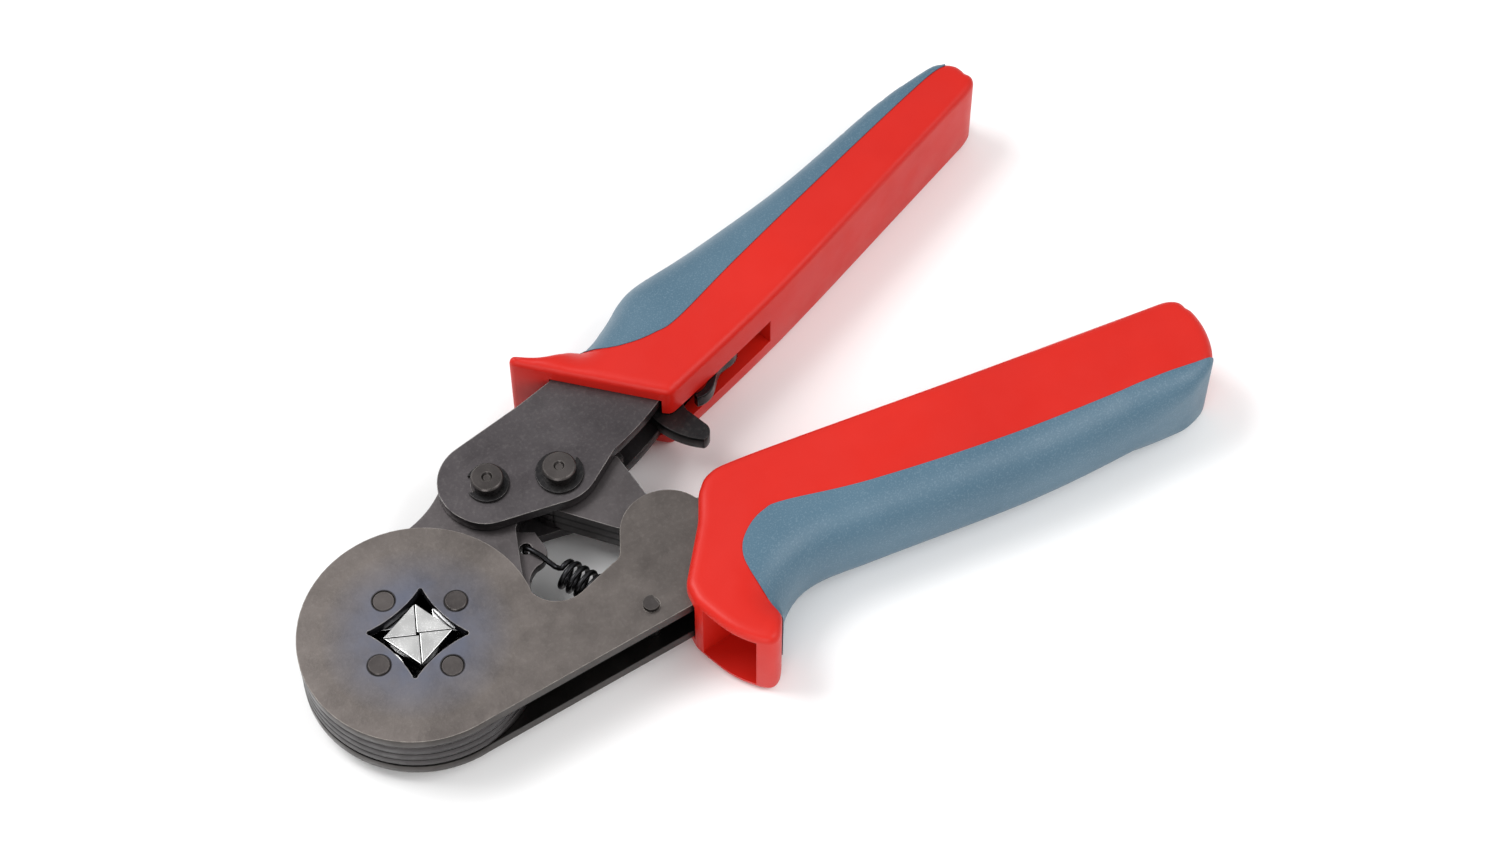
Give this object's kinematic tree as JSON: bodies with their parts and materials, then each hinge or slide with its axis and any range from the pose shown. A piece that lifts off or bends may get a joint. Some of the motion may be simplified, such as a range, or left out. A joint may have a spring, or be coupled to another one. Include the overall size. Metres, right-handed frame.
{
  "type": "square-nest crimping pliers",
  "caption": "Hand crimping tool with two coloured grips, a round steel head, a drive ring closing dies onto a square central nest, a toggle link, a ratchet pawl and a return spring",
  "frame": {"origin": "centre of the crimp nest, in the middle plane between the steel plates", "axes": "+X from the head towards the handle ends along the bisector of the handles, +Y towards the moving handle, +Z out of the face with the pins proud"},
  "size_m": [0.1722, 0.0842, 0.0184],
  "materials": {
    "plate_steel": "blackened, satin",
    "bright_steel": "polished",
    "pin_steel": "turned",
    "dark_steel": "oiled black",
    "spring_steel": "black",
    "red_plastic": "satin",
    "blue_grip": "fine grain"
  },
  "bodies": {
    "fixed_frame": {"frame_plate_front": "plate_steel", "frame_plate_back": "plate_steel", "die_pivot_pins": "pin_steel", "frame_spacer": "dark_steel", "frame_rivets": "pin_steel", "spring_anchor_pin": "pin_steel", "toggle_anchor_pin": "pin_steel", "fixed_handle_shell": "red_plastic", "fixed_handle_grip": "blue_grip"},
    "drive_ring": {"ring_plate_front": "plate_steel", "ring_plate_middle": "plate_steel", "ring_plate_back": "plate_steel", "return_spring": "spring_steel"},
    "moving_handle": {"handle_plate_front": "plate_steel", "handle_plate_back": "plate_steel", "ring_link_pin": "pin_steel", "toggle_link_pin": "pin_steel", "retaining_clips": "dark_steel", "pawl_pivot_pin": "pin_steel", "pawl_spring": "spring_steel", "handle_spacer": "dark_steel", "handle_rivets": "pin_steel", "moving_handle_shell": "red_plastic", "moving_handle_grip": "blue_grip"},
    "toggle_link": {"toggle_plate_front": "plate_steel", "toggle_plate_middle": "plate_steel", "toggle_plate_back": "plate_steel"},
    "pawl": {"ratchet_pawl": "dark_steel"},
    "crimp_die_1_body": {"crimp_die_1": "bright_steel"},
    "crimp_die_2_body": {"crimp_die_2": "bright_steel"},
    "crimp_die_3_body": {"crimp_die_3": "bright_steel"},
    "crimp_die_4_body": {"crimp_die_4": "bright_steel"}
  },
  "joints": [
    {"name": "ring_turn", "type": "hinge", "parent": "fixed_frame", "child": "drive_ring", "pos_m": [0, 0, 0], "axis": [0, 0, 1], "range_deg": [0, 1.6]},
    {"name": "handle_pivot", "type": "hinge", "parent": "drive_ring", "child": "moving_handle", "pos_m": [0.0263, 0.0178, 0], "axis": [0, 0, 1], "range_deg": [-15, 0], "stiffness_Nm_per_rad": 0.4, "springref_deg": 20.05, "deforming": ["return_spring"]},
    {"name": "toggle_turn", "type": "hinge", "parent": "fixed_frame", "child": "toggle_link", "pos_m": [0.057, -0.0105, 0], "axis": [0, 0, 1], "range_deg": [0, 5.5]},
    {"name": "pawl_turn", "type": "hinge", "parent": "moving_handle", "child": "pawl", "pos_m": [0.063, 0.0195, 0], "axis": [0, 0, 1], "range_deg": [-5, 0], "stiffness_Nm_per_rad": 0.05, "springref_deg": 1.15},
    {"name": "die_1_turn", "type": "hinge", "parent": "fixed_frame", "child": "crimp_die_1_body", "pos_m": [0.00879, 0.00139, 0], "axis": [0, 0, 1], "range_deg": [0, 2.15]},
    {"name": "die_2_turn", "type": "hinge", "parent": "fixed_frame", "child": "crimp_die_2_body", "pos_m": [-0.00139, 0.00879, 0], "axis": [0, 0, 1], "range_deg": [0, 2.15]},
    {"name": "die_3_turn", "type": "hinge", "parent": "fixed_frame", "child": "crimp_die_3_body", "pos_m": [-0.00879, -0.00139, 0], "axis": [0, 0, 1], "range_deg": [0, 2.15]},
    {"name": "die_4_turn", "type": "hinge", "parent": "fixed_frame", "child": "crimp_die_4_body", "pos_m": [0.00139, -0.00879, 0], "axis": [0, 0, 1], "range_deg": [0, 2.15]}
  ],
  "couplings": [
    {"joint": "ring_turn", "follows": "handle_pivot", "ratio": -0.103},
    {"joint": "toggle_turn", "follows": "handle_pivot", "ratio": -0.358},
    {"joint": "die_1_turn", "follows": "handle_pivot", "ratio": -0.14},
    {"joint": "die_2_turn", "follows": "handle_pivot", "ratio": -0.14},
    {"joint": "die_3_turn", "follows": "handle_pivot", "ratio": -0.14},
    {"joint": "die_4_turn", "follows": "handle_pivot", "ratio": -0.14}
  ]
}
